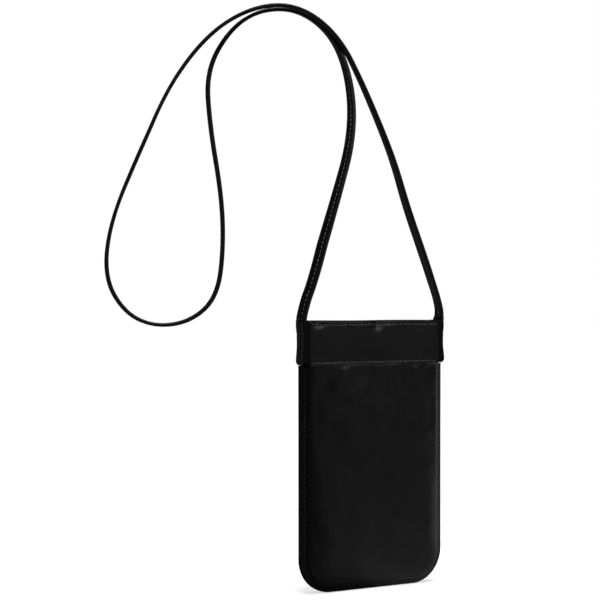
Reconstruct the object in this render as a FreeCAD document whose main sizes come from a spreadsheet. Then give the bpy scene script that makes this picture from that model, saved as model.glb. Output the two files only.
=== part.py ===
"""Neck pouch wallet: a flat leather pouch with a squeeze-frame mouth, hung from one continuous flat leather strap.

Millimetres, +Z up. The row frame's origin is the point the strap rests on, under the top of its hump. X runs along
the pouch's width, and the pouch's front faces -Y. Every sub-part is drawn in the pouch's own frame (x = 0 at mid
width, y = 0 between front and back, z = 0 at the top edge) and carried to its place by one shared Placement.
"""

import FreeCAD, Part
import math
import os

import Sketcher
from FreeCAD import Vector

doc = FreeCAD.newDocument("neck_pouch")

# ---------------------------------------------------------------- driving dimensions, in millimetres and degrees
sheet = doc.addObject("Spreadsheet::Sheet", "dims")
CELLS = [
    ("pouch_x", 58.0),  # the pouch's mid width, from the strap's rest point
    ("pouch_y", -24.0),  # the pouch's mid plane, from the strap's rest point
    ("rest_rise", 205.0),  # the strap's rest point above the pouch's top edge
    ("body_width", 110.8),
    ("body_height", 178.0),
    ("band_height", 29.2),  # the hem band round the mouth
    ("band_depth", 11.0),
    ("corner_radius", 23.0),
    ("flange_width", 4.2),  # flat sewn edge round the sides and the bottom
    ("flange_thick", 1.2),
    ("seam_gap", 0.05),  # half the gap between the two sewn edges
    ("body_half_depth", 6.5),
    ("leather_thick", 1.3),
    ("rim_radius", 3.6),
    ("lining_thick", 0.5),
    ("fit_gap", 0.1),
    ("part_gap", 0.4),  # between the hem band and the body below it
    ("hem_outer_wall", 1.3),
    ("hem_inner_y", 2.2),  # the mouth's half width at rest
    ("hem_inner_wall", 0.8),
    ("hem_end_x", 46.6),
    ("leg_room", 2.0),
    ("hem_mid_gap", 0.3),
    ("hem_top_wall", 1.3),
    ("hem_round", 1.1),
    ("spring_y", 3.6),
    ("spring_thick", 0.6),
    ("spring_tall", 13.0),
    ("spring_low", -21.0),
    ("spring_end_x", 45.2),
    ("pin_x", 48.8),
    ("pin_radius", 0.9),
    ("bore_radius", 0.95),
    ("knuckle_radius", 1.65),
    ("pin_low", -23.0),
    ("pin_tall", 17.0),
    ("head_radius", 1.5),
    ("head_tall", 0.8),
    ("notch_low", -17.0),
    ("notch_tall", 5.0),
    ("gusset_out_x", 51.7),
    ("gusset_thick", 1.0),
    ("strap_width", 11.0),
    ("strap_thick", 2.5),
    ("tab_tall", 29.0),
    ("tab_round", 2.6),
    ("stitch_pitch", 3.0),
    ("stitch_long", 2.2),
    ("stitch_wide", 0.5),
    ("stitch_proud", 0.3),
    ("hem_stitch_z", -27.5),
    ("edge_stitch_z", -3.6),
    ("stitch_count", 15.0),
    ("seam_inset", 2.6),  # the seam's stitch line from the body's edge
]
for row, (alias, value) in enumerate(CELLS, start=1):
    sheet.set("A%d" % row, alias)
    sheet.set("B%d" % row, str(value))
    sheet.setAlias("B%d" % row, alias)
doc.recompute()


def cell(alias):
    return float(sheet.get(alias))


def place(obj):
    obj.setExpression("Placement.Base.x", "dims.pouch_x")
    obj.setExpression("Placement.Base.y", "dims.pouch_y")
    obj.setExpression("Placement.Base.z", "-dims.rest_rise")


# ---------------------------------------------------------------- small helpers for bodies, sketches and edges
def new_body(label):
    body = doc.addObject("PartDesign::Body", label)
    body.Label = label
    place(body)
    return body


def origin_plane(body, role):
    return next(f for f in body.Origin.OriginFeatures if f.Role == role)


def rectangle(body, name, role, corner, wide, tall):
    """A rectangle whose lower left corner is at the sketch's own origin, which the attachment offset places."""
    sketch = body.newObject("Sketcher::SketchObject", name)
    sketch.AttachmentSupport = [(origin_plane(body, role), "")]
    sketch.MapMode = "FlatFace"
    p = [Vector(0, 0, 0), Vector(10, 0, 0), Vector(10, 10, 0), Vector(0, 10, 0)]
    for i in range(4):
        sketch.addGeometry(Part.LineSegment(p[i], p[(i + 1) % 4]), False)
    for i in range(4):
        sketch.addConstraint(Sketcher.Constraint("Coincident", i, 2, (i + 1) % 4, 1))
    sketch.addConstraint(Sketcher.Constraint("Coincident", 0, 1, -1, 1))
    sketch.addConstraint(Sketcher.Constraint("Horizontal", 0))
    sketch.addConstraint(Sketcher.Constraint("Horizontal", 2))
    sketch.addConstraint(Sketcher.Constraint("Vertical", 1))
    sketch.addConstraint(Sketcher.Constraint("Vertical", 3))
    i = sketch.addConstraint(Sketcher.Constraint("DistanceX", 0, 1, 0, 2, 10.0))
    sketch.renameConstraint(i, "wide")
    i = sketch.addConstraint(Sketcher.Constraint("DistanceY", 1, 1, 1, 2, 10.0))
    sketch.renameConstraint(i, "tall")
    sketch.setExpression("Constraints.wide", wide)
    sketch.setExpression("Constraints.tall", tall)
    for axis, text in zip("xyz", corner):
        sketch.setExpression("AttachmentOffset.Base." + axis, text)
    return sketch


def cup_outline(body, name, role, corner, wide, tall, radius, guess):
    """A rectangle with its two lower corners rounded. Its left side lies on the sketch's vertical axis and its
    lower side on the horizontal one. guess holds rough sizes, which only start the solver near its answer."""
    sketch = body.newObject("Sketcher::SketchObject", name)
    sketch.AttachmentSupport = [(origin_plane(body, role), "")]
    sketch.MapMode = "FlatFace"
    w, t, r = guess
    up = Vector(0, 0, 1)
    sketch.addGeometry(Part.LineSegment(Vector(r, 0, 0), Vector(w - r, 0, 0)), False)
    sketch.addGeometry(Part.ArcOfCircle(Part.Circle(Vector(w - r, r, 0), up, r), 1.5 * math.pi, 2 * math.pi), False)
    sketch.addGeometry(Part.LineSegment(Vector(w, r, 0), Vector(w, t, 0)), False)
    sketch.addGeometry(Part.LineSegment(Vector(w, t, 0), Vector(0, t, 0)), False)
    sketch.addGeometry(Part.LineSegment(Vector(0, t, 0), Vector(0, r, 0)), False)
    sketch.addGeometry(Part.ArcOfCircle(Part.Circle(Vector(r, r, 0), up, r), math.pi, 1.5 * math.pi), False)
    for first, second in ((0, 1), (1, 2), (4, 5), (5, 0)):
        sketch.addConstraint(Sketcher.Constraint("Tangent", first, 2, second, 1))
    for first, second in ((2, 3), (3, 4)):
        sketch.addConstraint(Sketcher.Constraint("Coincident", first, 2, second, 1))
    for line in (0, 3):
        sketch.addConstraint(Sketcher.Constraint("Horizontal", line))
    for line in (2, 4):
        sketch.addConstraint(Sketcher.Constraint("Vertical", line))
    sketch.addConstraint(Sketcher.Constraint("Equal", 1, 5))
    sketch.addConstraint(Sketcher.Constraint("PointOnObject", 4, 1, -2))
    sketch.addConstraint(Sketcher.Constraint("PointOnObject", 0, 1, -1))
    i = sketch.addConstraint(Sketcher.Constraint("Radius", 1, r))
    sketch.renameConstraint(i, "round")
    i = sketch.addConstraint(Sketcher.Constraint("DistanceX", 3, 2, 3, 1, w))
    sketch.renameConstraint(i, "wide")
    i = sketch.addConstraint(Sketcher.Constraint("DistanceY", -1, 1, 3, 1, t))
    sketch.renameConstraint(i, "tall")
    sketch.setExpression("Constraints.round", radius)
    sketch.setExpression("Constraints.wide", wide)
    sketch.setExpression("Constraints.tall", tall)
    for axis, text in zip("xyz", corner):
        sketch.setExpression("AttachmentOffset.Base." + axis, text)
    return sketch


def pad(body, sketch, length, name, flip=False):
    feature = body.newObject("PartDesign::Pad", name)
    feature.Profile = sketch
    feature.Type = 0
    feature.setExpression("Length", length)
    feature.Reversed = flip
    doc.recompute()
    return feature


def pocket(body, sketch, length, name, flip=False):
    feature = body.newObject("PartDesign::Pocket", name)
    feature.Profile = sketch
    feature.Type = 0
    feature.setExpression("Length", length)
    feature.Reversed = flip
    before = body.Shape.Volume
    doc.recompute()
    if body.Shape.Volume > before - 1e-3:
        raise SystemExit("%s: the pocket %s cut nothing" % (body.Label, name))
    return feature


def round_edges(body, base, test, radius, name):
    names = [
        "Edge%d" % (i + 1) for i, e in enumerate(base.Shape.Edges) if test(e.BoundBox)
    ]
    if not names:
        raise SystemExit("%s: no edge found for %s" % (body.Label, name))
    feature = body.newObject("PartDesign::Fillet", name)
    feature.Base = (base, names)
    feature.setExpression("Radius", radius)
    doc.recompute()
    return feature


def near(a, b, tol=1e-3):
    return abs(a - b) < tol


# ---------------------------------------------------------------- front and back panels, and their linings
W, H = cell("body_width"), cell("body_height")
TOP = -(cell("band_height") + cell("part_gap"))  # the panels' upper end
BODY_TALL = "dims.body_height - dims.band_height - dims.part_gap"


def tray(label, side, inset_out, inset_in, y_in, y_out, y_floor, radius_out, radius_in):
    """A moulded panel: a raised bulge that is open at its top end, and a flat sewn edge round it.
    side is 1 for the front, which faces -Y, and -1 for the back."""
    body = new_body(label)
    flip = side < 0
    at = lambda inset, y: (
        "-dims.body_width/2 + %s" % inset,
        "-dims.body_height + %s" % inset,
        "%d*(%s)" % (side, y),
    )
    rough = lambda inset: (W - 2 * inset, H + TOP - inset, cell("corner_radius") - inset)
    sketch = cup_outline(
        body, label + "_bulge_sketch", "XZ_Plane", at(inset_out, y_in),
        "dims.body_width - 2*(%s)" % inset_out, BODY_TALL + " - (%s)" % inset_out, radius_out,
        rough(INSETS[inset_out]),
    )
    last = pad(body, sketch, "(%s) - (%s)" % (y_out, y_in), label + "_bulge", flip)
    front = -side * VALUES[y_out]
    rim = lambda b: near(b.YLength, 0) and near(b.YMin, front) and not (near(b.ZMin, TOP) and near(b.ZLength, 0))
    last = round_edges(body, last, rim, RIMS[0], label + "_rim")
    sketch = cup_outline(body, label + "_edge_sketch", "XZ_Plane", at("0", y_in), "dims.body_width", BODY_TALL,
                         "dims.corner_radius", rough(0))
    last = pad(body, sketch, "dims.flange_thick", label + "_edge", flip)
    sketch = cup_outline(
        body, label + "_hollow_sketch", "XZ_Plane", at(inset_in, y_in + " - 0.02"),
        "dims.body_width - 2*(%s)" % inset_in, BODY_TALL + " - (%s) + 1" % inset_in, radius_in,
        rough(INSETS[inset_in]),
    )
    last = pocket(body, sketch, "(%s) - (%s) + 0.02" % (y_floor, y_in), label + "_hollow", not flip)
    floor = -side * VALUES[y_floor]
    rim = lambda b: near(b.YLength, 0) and near(b.YMin, floor) and not (near(b.ZMin, TOP) and near(b.ZLength, 0))
    last = round_edges(body, last, rim, RIMS[1], label + "_hollow_rim")
    body.Tip = last
    return body


INSETS = {
    "dims.flange_width": cell("flange_width"),
    "dims.flange_width + dims.leather_thick": cell("flange_width") + cell("leather_thick"),
}
VALUES = {
    "dims.body_half_depth": cell("body_half_depth"),
    "dims.body_half_depth - dims.leather_thick": cell("body_half_depth") - cell("leather_thick"),
}
RIMS = ["dims.rim_radius", "dims.rim_radius - dims.leather_thick"]
IN = list(INSETS)
YS = list(VALUES)

parts = []
for side, word in ((1, "front"), (-1, "back")):
    parts.append(
        tray(
            word + "_panel", side, IN[0], IN[1], "dims.seam_gap", YS[0], YS[1],
            "dims.corner_radius - dims.flange_width", "dims.corner_radius - dims.flange_width - dims.leather_thick",
        )
    )
    label = word + "_lining"  # a thin sheet glued flat to the panel's inner face
    body = new_body(label)
    inset = "dims.flange_width + dims.rim_radius + dims.fit_gap"
    far = "dims.body_half_depth - dims.leather_thick - dims.lining_thick"
    room = cell("flange_width") + cell("rim_radius") + cell("fit_gap")
    sketch = cup_outline(
        body, label + "_sketch", "XZ_Plane",
        ("-dims.body_width/2 + " + inset, "-dims.body_height + " + inset, "%d*(%s)" % (side, far)),
        "dims.body_width - 2*(%s)" % inset, BODY_TALL + " - (%s)" % inset, "dims.corner_radius - (%s)" % inset,
        (W - 2 * room, H + TOP - room, cell("corner_radius") - room),
    )
    body.Tip = pad(body, sketch, "dims.lining_thick", label + "_sheet", side < 0)
    parts.append(body)


# ---------------------------------------------------------------- hem casings: the turned band that hides the spring
def hem(label, side, hand):
    """Half of the front (side 1) or back (side -1) casing, on the left (hand -1) or the right (hand 1)."""
    body = new_body(label)
    flip = side < 0
    left = "-dims.hem_end_x" if hand < 0 else "dims.hem_mid_gap"
    sketch = rectangle(
        body, label + "_sketch", "XZ_Plane", (left, "-dims.band_height + 0.2", "%d*dims.hem_inner_y" % side),
        "dims.hem_end_x - dims.hem_mid_gap", "dims.band_height - 0.2",
    )
    last = pad(body, sketch, "dims.band_depth/2 - dims.hem_inner_y", label + "_wall", flip)
    out = -side * cell("band_depth") / 2
    top = lambda b: near(b.ZLength, 0) and near(b.YLength, 0) and b.XLength > 1 and near(b.ZMin, 0) and near(b.YMin, out)
    last = round_edges(body, last, top, "dims.hem_round", label + "_top_fold")
    # the casing's tunnel runs its whole length, between the outer leather and the turned-in layer
    sketch = rectangle(
        body, label + "_tunnel_sketch", "YZ_Plane",
        (
            "%s - 0*dims.hem_inner_y" % ("dims.hem_inner_y + dims.hem_inner_wall" if side < 0 else
                                         "-dims.band_depth/2 + dims.hem_outer_wall"),
            "dims.spring_low - 0.8",
            "%s" % ("-dims.hem_end_x - 1" if hand < 0 else "dims.hem_mid_gap - 1"),
        ),
        "dims.band_depth/2 - dims.hem_inner_y - dims.hem_inner_wall - dims.hem_outer_wall",
        "dims.spring_tall + 1.6",
    )
    last = pocket(body, sketch, "dims.hem_end_x + 4", label + "_tunnel", True)
    # the turned-in layer stops short of the hinge, so the strip's slanted leg can leave the tunnel
    sketch = rectangle(
        body, label + "_leg_sketch", "XZ_Plane",
        ("-dims.hem_end_x - 1" if hand < 0 else "dims.hem_end_x - dims.leg_room", "dims.spring_low - 0.8",
         "%d*(dims.hem_inner_y - 0.2)" % side),
        "dims.leg_room + 1", "dims.spring_tall + 1.6",
    )
    body.Tip = pocket(body, sketch, "dims.hem_inner_wall + 0.4", label + "_leg_opening", not flip)
    return body


def spring(label, side, hand):
    """Half of a spring-steel strip with its rolled knuckle, which turns on the pin at its own end of the mouth."""
    s = "-" if side > 0 else ""
    h = "-" if hand < 0 else ""

    def box(name, x, y, z, lx, ly, lz):
        obj = doc.addObject("Part::Box", label + name)
        for key, text in zip(("Placement.Base.x", "Placement.Base.y", "Placement.Base.z", "Length", "Width", "Height"),
                             (x, y, z, lx, ly, lz)):
            obj.setExpression(key, text)
        return obj

    def tube(name, radius, z, tall):
        obj = doc.addObject("Part::Cylinder", label + name)
        obj.setExpression("Radius", radius)
        obj.setExpression("Height", tall)
        obj.setExpression("Placement.Base.x", h + "dims.pin_x")
        obj.setExpression("Placement.Base.z", z)
        return obj

    strip = box(
        "_strip",
        "-dims.spring_end_x" if hand < 0 else "dims.hem_mid_gap + 0.3",
        "%sdims.spring_y - dims.spring_thick/2" % s,
        "dims.spring_low", "dims.spring_end_x - dims.hem_mid_gap - 0.3", "dims.spring_thick", "dims.spring_tall",
    )
    # the leg slants from the strip's end in to the knuckle's wall
    x0, y0 = hand * (cell("spring_end_x") - 0.1), -side * cell("spring_y")
    ring = (cell("knuckle_radius") + cell("bore_radius")) / 2
    x1 = hand * (cell("pin_x") - ring * math.cos(math.radians(52)))
    y1 = -side * ring * math.sin(math.radians(52))
    leg = doc.addObject("Part::Box", label + "_leg")
    run = math.hypot(x1 - x0, y1 - y0)
    turn = math.degrees(math.atan2(y1 - y0, x1 - x0))
    leg.Length = run
    leg.setExpression("Width", "dims.spring_thick")
    leg.setExpression("Height", "dims.spring_tall")
    off = cell("spring_thick") / 2
    leg.Placement = FreeCAD.Placement(
        Vector(x0 + off * math.sin(math.radians(turn)), y0 - off * math.cos(math.radians(turn)), cell("spring_low")),
        FreeCAD.Rotation(Vector(0, 0, 1), turn),
    )
    knuckle = tube("_knuckle", "dims.knuckle_radius", "dims.spring_low", "dims.spring_tall")
    solid = doc.addObject("Part::MultiFuse", label + "_solid")
    solid.Shapes = [strip, leg, knuckle]
    bore = tube("_bore", "dims.bore_radius", "dims.spring_low - 1", "dims.spring_tall + 2")
    cuts = [bore]
    reach = "3.9"
    nx = "dims.pin_x - 1.9" if hand > 0 else "-dims.pin_x - %s + 1.9" % reach
    ny = "-2.2" if side > 0 else "-2"
    if side > 0:  # the front strip has an upper and a lower knuckle
        cuts.append(box("_notch", nx, ny, "dims.notch_low", reach, "4.2", "dims.notch_tall"))
    else:  # the back strip's one knuckle sits between them
        cuts.append(box("_notch_low", nx, ny, "dims.spring_low - 1", reach, "4.2",
                        "dims.notch_low - dims.spring_low + 1.2"))
        cuts.append(box("_notch_high", nx, ny, "dims.notch_low + dims.notch_tall - 0.2", reach, "4.2", "10"))
    tools = doc.addObject("Part::MultiFuse", label + "_cuts")
    tools.Shapes = cuts
    result = doc.addObject("Part::Cut", label)
    result.Base, result.Tool = solid, tools
    result.Label = label
    place(result)
    return result


for side, word in ((1, "front"), (-1, "back")):
    for hand, where in ((-1, "left"), (1, "right")):
        parts.append(hem("%s_hem_%s" % (word, where), side, hand))
        parts.append(spring("%s_spring_%s" % (word, where), side, hand))

# ---------------------------------------------------------------- hinge pins, side gussets and the strap's sewn ends
for hand, where in ((-1, "left"), (1, "right")):
    h = "-" if hand < 0 else ""
    shaft = doc.addObject("Part::Cylinder", "hinge_pin_%s_shaft" % where)
    shaft.setExpression("Radius", "dims.pin_radius")
    shaft.setExpression("Height", "dims.pin_tall")
    shaft.setExpression("Placement.Base.x", h + "dims.pin_x")
    shaft.setExpression("Placement.Base.z", "dims.pin_low")
    heads = []
    for end, z in (("low", "dims.pin_low"), ("high", "dims.pin_low + dims.pin_tall - dims.head_tall")):
        head = doc.addObject("Part::Cylinder", "hinge_pin_%s_head_%s" % (where, end))
        head.setExpression("Radius", "dims.head_radius")
        head.setExpression("Height", "dims.head_tall")
        head.setExpression("Placement.Base.x", h + "dims.pin_x")
        head.setExpression("Placement.Base.z", z)
        heads.append(head)
    pin = doc.addObject("Part::MultiFuse", "hinge_pin_%s" % where)
    pin.Shapes = [shaft] + heads
    pin.Label = "hinge_pin_%s" % where
    place(pin)
    parts.append(pin)

    label = "side_gusset_%s" % where
    body = new_body(label)
    sketch = rectangle(
        body, label + "_sketch", "XZ_Plane",
        ("-dims.gusset_out_x" if hand < 0 else "dims.gusset_out_x - dims.gusset_thick", "-dims.band_height + 0.2",
         "-dims.band_depth/2"),
        "dims.gusset_thick", "dims.band_height - 0.2",
    )
    body.Tip = pad(body, sketch, "dims.band_depth", label + "_strip")
    parts.append(body)

    # the strap's end lies flat down the band's side, its two lower corners rounded, and its top takes the free strap
    label = "strap_end_%s" % where
    body = new_body(label)
    sketch = rectangle(
        body, label + "_sketch", "YZ_Plane",
        ("-dims.strap_width/2", "-dims.tab_tall",
         "-dims.gusset_out_x - dims.strap_thick" if hand < 0 else "dims.gusset_out_x"),
        "dims.strap_width", "dims.tab_tall",
    )
    last = pad(body, sketch, "dims.strap_thick", label + "_strip")
    low = -cell("tab_tall")
    body.Tip = round_edges(
        body, last,
        lambda b: near(b.YLength, 0) and near(b.ZLength, 0) and near(b.ZMin, low), "dims.tab_round", label + "_corners",
    )
    parts.append(body)

# ---------------------------------------------------------------- thread: each row is a group of separate stitches
def stitch(x, y, z, lx, ly, lz):
    return Part.makeBox(lx, ly, lz, Vector(x, y, z))


LONG, WIDE, PROUD, PITCH = cell("stitch_long"), cell("stitch_wide"), cell("stitch_proud"), cell("stitch_pitch")
COUNT = int(cell("stitch_count"))
for side, word in ((1, "front"), (-1, "back")):
    for hand, where in ((-1, "left"), (1, "right")):
        label = "%s_hem_thread_%s" % (word, where)
        body = new_body(label)
        body.AllowCompound = True
        z0 = "dims.hem_stitch_z - dims.stitch_wide/2"
        x0 = "-dims.hem_end_x + 1.5" if hand < 0 else "dims.hem_mid_gap + 1.5"
        sketch = rectangle(body, label + "_sketch", "XZ_Plane", (x0, z0, "%d*dims.band_depth/2" % side),
                           "dims.stitch_long", "dims.stitch_wide")
        first = pad(body, sketch, "dims.stitch_proud", label + "_first", side < 0)
        row = body.newObject("PartDesign::LinearPattern", label + "_row")
        row.Originals = [first]
        row.Direction = (sketch, ["H_Axis"])
        row.setExpression("Length", "dims.stitch_pitch*(dims.stitch_count - 1)")
        row.Occurrences = COUNT
        body.Tip = row
        doc.recompute()
        parts.append(body)

# the seam round the body: one row on each face of the sewn edge, down one side, round the corners and up the other
path = []
r = cell("corner_radius") - cell("seam_inset")
x_line = W / 2 - cell("seam_inset")
z_line = -H + cell("seam_inset")
legs = [
    ("line", Vector(-x_line, 0, TOP - 2.0), Vector(-x_line, 0, z_line + r)),
    ("arc", Vector(-x_line + r, 0, z_line + r), 180.0, 270.0),
    ("line", Vector(-x_line + r, 0, z_line), Vector(x_line - r, 0, z_line)),
    ("arc", Vector(x_line - r, 0, z_line + r), 270.0, 360.0),
    ("line", Vector(x_line, 0, z_line + r), Vector(x_line, 0, TOP - 2.0)),
]
total = sum((leg[2] - leg[1]).Length if leg[0] == "line" else r * math.pi / 2 for leg in legs)
count = int(total / PITCH)
step = total / count


def along(s):
    """Point and direction angle, in degrees, at length s along the seam."""
    for leg in legs:
        size = (leg[2] - leg[1]).Length if leg[0] == "line" else r * math.pi / 2
        if s <= size + 1e-9:
            if leg[0] == "line":
                d = (leg[2] - leg[1]).normalize()
                return leg[1] + d * s, math.degrees(math.atan2(d.z, d.x))
            a = math.radians(leg[2] + (leg[3] - leg[2]) * s / size)
            return leg[1] + Vector(r * math.cos(a), 0, r * math.sin(a)), math.degrees(a) + 90
        s -= size
    return legs[-1][2], 90.0


solids = []
for i in range(count):
    point, angle = along((i + 0.5) * step)
    for face in (-1, 1):
        y = face * (cell("seam_gap") + cell("flange_thick"))
        box = Part.makeBox(LONG, PROUD, WIDE, Vector(-LONG / 2, 0 if face > 0 else -PROUD, -WIDE / 2))
        box.Placement = FreeCAD.Placement(Vector(point.x, y, point.z), FreeCAD.Rotation(Vector(0, 1, 0), -angle))
        solids.append(box)
seam = doc.addObject("Part::Feature", "side_seam_thread")
seam.Shape = Part.makeCompound(solids)
seam.Label = "side_seam_thread"
place(seam)
parts.append(seam)

# the thread that holds each strap end to the band's side: a row down its middle and one across below the top edge
for hand, where in ((-1, "left"), (1, "right")):
    x = hand * (cell("gusset_out_x") + cell("strap_thick"))
    x = x if hand > 0 else x - PROUD
    solids = [stitch(x, -WIDE / 2, -5.6 - i * PITCH, PROUD, WIDE, LONG) for i in range(8)]
    solids += [stitch(x, -4.4 + i * PITCH - 0.0, -9.0 + 0.2, PROUD, LONG, WIDE) for i in (0,)]
    solids += [stitch(x, 2.2, -9.0 + 0.2, PROUD, LONG, WIDE)]
    thread = doc.addObject("Part::Feature", "strap_end_thread_%s" % where)
    thread.Shape = Part.makeCompound(solids)
    thread.Label = "strap_end_thread_%s" % where
    place(thread)
    parts.append(thread)

# ---------------------------------------------------------------- the free strap, one flat strip from end to end
# It rises from the left end, passes over the rest behind, hangs in a loop on the left, comes back over the rest in
# front of itself, and goes down to the right end. Points are in the pouch's own frame.
ROUTE = [
    (-52.95, 0.0, 0.0),
    (-52.95, 0.0, 11.0),
    (-48.2, -2.5, 26.0),
    (-41.5, -4.8, 46.0),
    (-31.7, -6.5, 80.0),
    (-19.1, -6.3, 118.1),
    (-15.7, -0.1, 157.1),
    (-22.9, 9.6, 188.0),
    (-41.8, 22.5, 206.7),
    (-63.9, 34.9, 207.0),
    (-82.8, 44.5, 193.8),
    (-97.0, 51.4, 166.1),
    (-95.5, 49.4, 128.6),
    (-89.5, 44.5, 87.0),
    (-88.5, 42.4, 47.8),
    (-93.3, 42.9, 15.5),
    (-108.5, 50.1, -0.6),
    (-129.0, 59.5, -4.4),
    (-147.7, 68.1, 3.9),
    (-160.7, 74.4, 28.0),
    (-156.4, 71.8, 66.8),
    (-140.3, 62.7, 109.8),
    (-124.1, 53.7, 153.1),
    (-101.5, 40.5, 188.2),
    (-74.8, 24.9, 206.4),
    (-49.2, 12.3, 207.8),
    (-23.7, 2.0, 187.9),
    (-6.0, -0.5, 154.0),
    (13.4, -2.4, 112.9),
    (27.9, -0.6, 76.0),
    (40.7, 0.2, 46.0),
    (49.4, 0.4, 25.0),
    (52.95, 0.0, 10.0),
    (52.95, 0.0, 0.0),
]
pts = [Vector(*p) for p in ROUTE]
edges, start, radii = [], pts[0], []
for i in range(1, len(pts) - 1):
    a, b = pts[i] - pts[i - 1], pts[i + 1] - pts[i]
    turn = a.getAngle(b)
    cut = 0.45 * min(a.Length, b.Length)
    radius = cut / math.tan(turn / 2)
    radii.append(round(radius, 1))
    p1, p2 = pts[i] - a.normalize() * cut, pts[i] + b.normalize() * cut
    out = (p1 + p2) * 0.5 - pts[i]
    centre = pts[i] + out.normalize() * math.hypot(cut, radius)
    mid = centre + (pts[i] - centre).normalize() * radius
    edges.append(Part.LineSegment(start, p1).toShape())
    edges.append(Part.Arc(p1, mid, p2).toShape())
    start = p2
edges.append(Part.LineSegment(start, pts[-1]).toShape())
spine = Part.Wire(edges)
print("strap bend radii, mm:", radii, "smallest", min(radii))
wide, thick = cell("strap_width"), cell("strap_thick")
corner = pts[0] + Vector(-thick / 2, -wide / 2, 0)
section = Part.Wire(
    Part.makePolygon([corner, corner + Vector(thick, 0, 0), corner + Vector(thick, wide, 0), corner + Vector(0, wide, 0), corner])
)
sweep = Part.BRepOffsetAPI.MakePipeShell(spine)
sweep.setBiNormalMode(Vector(0, 1, 0))
sweep.add(section, False, False)
if not sweep.isReady():
    raise SystemExit("the strap's sweep isn't ready")
sweep.build()
sweep.makeSolid()
shape = sweep.shape()
solid = shape.Solids[0] if shape.Solids else Part.Solid(Part.Shell(shape.Faces))
if solid.Volume < 0:
    solid.reverse()
strap = doc.addObject("Part::Feature", "strap")
strap.Shape = solid
strap.Label = "strap"
place(strap)
parts.append(strap)
print("strap length %.1f mm, volume %.0f, section times length %.0f"
      % (spine.Length, solid.Volume, spine.Length * wide * thick))

# ---------------------------------------------------------------- recompute, check and write
doc.recompute()
bad = [o.Name for o in doc.Objects if any(s in ("Invalid", "Error") for s in o.State)]
if bad:
    raise SystemExit("failed objects: %s" % bad)
for obj in parts:
    if obj.Shape.isNull() or not obj.Shape.isValid():
        raise SystemExit("bad shape: %s" % obj.Label)
os.makedirs("parts", exist_ok=True)
for obj in parts:
    obj.Shape.exportStep("parts/%s.step" % obj.Label)
    box = obj.Shape.BoundBox
    print("%-26s solids %3d volume %9.1f  x %.1f..%.1f  y %.1f..%.1f  z %.1f..%.1f" % (
        obj.Label, len(obj.Shape.Solids), obj.Shape.Volume,
        box.XMin, box.XMax, box.YMin, box.YMax, box.ZMin, box.ZMax))
print(len(parts), "sub-parts")
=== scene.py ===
"""Looks of the neck pouch wallet: smooth black leather, a squeeze-frame mouth and one long flat neck strap.

Metres, in the row frame. Shapes are drawn in the pouch's own millimetres (x = 0 at mid width, y = 0 between front and
back, z = 0 at the top edge) and carried to the row frame by place(), which takes its origin from the CAD nodes.
"""

import math

import bpy
import bmesh
import numpy as np
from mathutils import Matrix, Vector


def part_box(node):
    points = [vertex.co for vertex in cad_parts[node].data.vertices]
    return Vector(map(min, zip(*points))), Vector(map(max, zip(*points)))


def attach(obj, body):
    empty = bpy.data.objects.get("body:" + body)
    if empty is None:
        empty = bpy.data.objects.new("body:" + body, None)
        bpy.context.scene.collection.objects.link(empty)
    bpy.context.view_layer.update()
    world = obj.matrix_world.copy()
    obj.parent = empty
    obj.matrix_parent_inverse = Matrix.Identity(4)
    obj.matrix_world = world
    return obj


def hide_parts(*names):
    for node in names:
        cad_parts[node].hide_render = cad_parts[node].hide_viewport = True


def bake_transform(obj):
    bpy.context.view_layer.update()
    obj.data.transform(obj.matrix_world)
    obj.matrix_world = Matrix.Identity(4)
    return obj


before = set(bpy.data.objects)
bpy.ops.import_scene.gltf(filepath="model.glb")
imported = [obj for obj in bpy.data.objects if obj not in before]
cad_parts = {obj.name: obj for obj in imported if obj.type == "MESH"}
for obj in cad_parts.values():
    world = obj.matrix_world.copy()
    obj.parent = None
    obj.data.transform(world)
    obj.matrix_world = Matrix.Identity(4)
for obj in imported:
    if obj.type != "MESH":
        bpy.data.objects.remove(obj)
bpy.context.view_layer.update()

pin_a, pin_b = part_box("hinge_pin_left"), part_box("hinge_pin_right")
tab_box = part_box("strap_end_left")
O = np.array([
    (pin_a[0].x + pin_b[1].x) / 2,
    (pin_a[0].y + pin_a[1].y) / 2,
    tab_box[1].z,
])
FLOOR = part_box("front_panel")[0].z


def place(p):
    """Pouch millimetres to row-frame metres."""
    return np.asarray(p, float) * 0.001 + O


def smooth(t):
    t = np.clip(t, 0.0, 1.0)
    return t * t * (3 - 2 * t)


# ---------------------------------------------------------------- camera
scene = bpy.context.scene
cam_data = bpy.data.cameras.new("camera")
cam = bpy.data.objects.new("camera", cam_data)
scene.collection.objects.link(cam)
scene.camera = cam
cam_data.sensor_width = 36.0
cam_data.lens = 92.1
cam_data.clip_start, cam_data.clip_end = 0.01, 50.0
cam.rotation_mode = "QUATERNION"
cam.location = Vector(place((-547.35, -865.17, 13.4)))
cam.rotation_quaternion = Vector((0.49488, 0.86896, 0.0)).to_track_quat("-Z", "Y")
scene.view_settings.view_transform = "Standard"
scene.view_settings.look = "None"


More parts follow.
